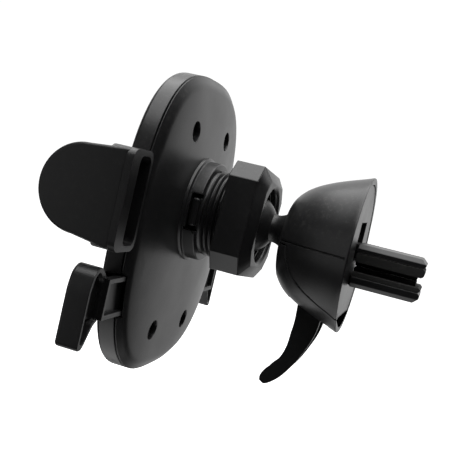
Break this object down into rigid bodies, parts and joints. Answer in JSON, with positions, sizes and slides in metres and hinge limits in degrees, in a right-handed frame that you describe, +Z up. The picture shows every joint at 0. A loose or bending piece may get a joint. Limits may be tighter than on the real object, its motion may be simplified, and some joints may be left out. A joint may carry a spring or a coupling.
{
  "type": "car phone mount",
  "caption": "Air-vent phone mount: disc head with geared side arms and sliding feet on a lockable ball joint behind a bell-shaped vent clip with a trigger lever.",
  "frame": {"origin": "middle of the gap between the jaws, where the vent blade is gripped", "axes": "+Y from the phone towards the vent, +Z up, +X across the arms"},
  "size_m": [0.0924, 0.0774, 0.072],
  "materials": {
    "shell_black": "fine matte grain",
    "satin_black": "satin moulded",
    "soft_rubber": "matte soft grip",
    "acetal": "smooth low-friction",
    "spring_steel": "bright drawn",
    "black_steel": "blackened"
  },
  "bodies": {
    "clip": {"ball_stem": "satin_black", "stem_screw": "spring_steel", "clip_shell": "satin_black", "clip_belly": "satin_black", "end_plate": "satin_black", "jaw_lower": "satin_black", "jaw_pad_lower": "soft_rubber", "lever_pin": "spring_steel", "lever_spring": "spring_steel"},
    "trigger": {"lever": "satin_black"},
    "moving_jaw": {"jaw_upper": "satin_black", "jaw_pad_upper": "soft_rubber"},
    "pan_liner": {"liner_ring": "acetal"},
    "tilt_liner": {"liner_cup": "acetal"},
    "head": {"front_shell": "shell_black", "rear_shell": "shell_black", "front_pad": "soft_rubber", "case_screws": "black_steel", "socket_collar": "satin_black", "collar_screws": "spring_steel", "arm_spring": "spring_steel"},
    "nut": {"clamp_nut": "satin_black"},
    "right_arm": {"side_arm_right": "shell_black", "arm_pad_right": "soft_rubber"},
    "left_arm": {"side_arm_left": "shell_black", "arm_pad_left": "soft_rubber"},
    "pinion": {"arm_pinion": "acetal"},
    "right_foot": {"foot_right": "shell_black"},
    "left_foot": {"foot_left": "shell_black"}
  },
  "joints": [
    {"name": "lever_swing", "type": "hinge", "parent": "clip", "child": "trigger", "pos_m": [0, -0.0165, -0.0069], "axis": [1, 0, 0], "range_deg": [0, 12], "stiffness_Nm_per_rad": 0.05, "springref_deg": -17.19},
    {"name": "jaw_slide", "type": "slide", "parent": "clip", "child": "moving_jaw", "axis": [0, 0, 1], "range_m": [0, 0.0012], "stiffness_N_per_m": 1.3, "springref_m": 0.008, "deforming": ["lever_spring"]},
    {"name": "ball_pan", "type": "hinge", "parent": "clip", "child": "pan_liner", "pos_m": [0, -0.0362, 0.0036], "axis": [0, 0, 1], "range_deg": [-18, 18]},
    {"name": "ball_tilt", "type": "hinge", "parent": "pan_liner", "child": "tilt_liner", "pos_m": [0, -0.0362, 0.0036], "axis": [1, 0, 0], "range_deg": [-18, 18]},
    {"name": "head_turn", "type": "hinge", "parent": "tilt_liner", "child": "head", "pos_m": [0, -0.0362, 0.0036], "axis": [0, 1, 0], "continuous": true},
    {"name": "nut_turn", "type": "hinge", "parent": "head", "child": "nut", "pos_m": [0, -0.0362, 0.0036], "axis": [0, 1, 0], "range_deg": [-90, 180]},
    {"name": "arm_slide_right", "type": "slide", "parent": "head", "child": "right_arm", "axis": [1, 0, 0], "range_m": [0, 0.01], "stiffness_N_per_m": 60, "springref_m": -0.02, "deforming": ["arm_spring"]},
    {"name": "arm_slide_left", "type": "slide", "parent": "head", "child": "left_arm", "axis": [-1, 0, 0], "range_m": [0, 0.01]},
    {"name": "pinion_turn", "type": "hinge", "parent": "head", "child": "pinion", "pos_m": [0, -0.05425, 0.0048], "axis": [0, 1, 0], "range_deg": [0, 143.5]},
    {"name": "foot_slide_right", "type": "slide", "parent": "head", "child": "right_foot", "axis": [1, 0, 0], "range_m": [-0.006, 0.002]},
    {"name": "foot_slide_left", "type": "slide", "parent": "head", "child": "left_foot", "axis": [-1, 0, 0], "range_m": [-0.006, 0.002]}
  ],
  "couplings": [
    {"joint": "jaw_slide", "follows": "lever_swing", "m_per_rad": 0.0055},
    {"joint": "arm_slide_left", "follows": "arm_slide_right", "ratio": 1},
    {"joint": "pinion_turn", "follows": "arm_slide_right", "rad_per_m": 250}
  ]
}
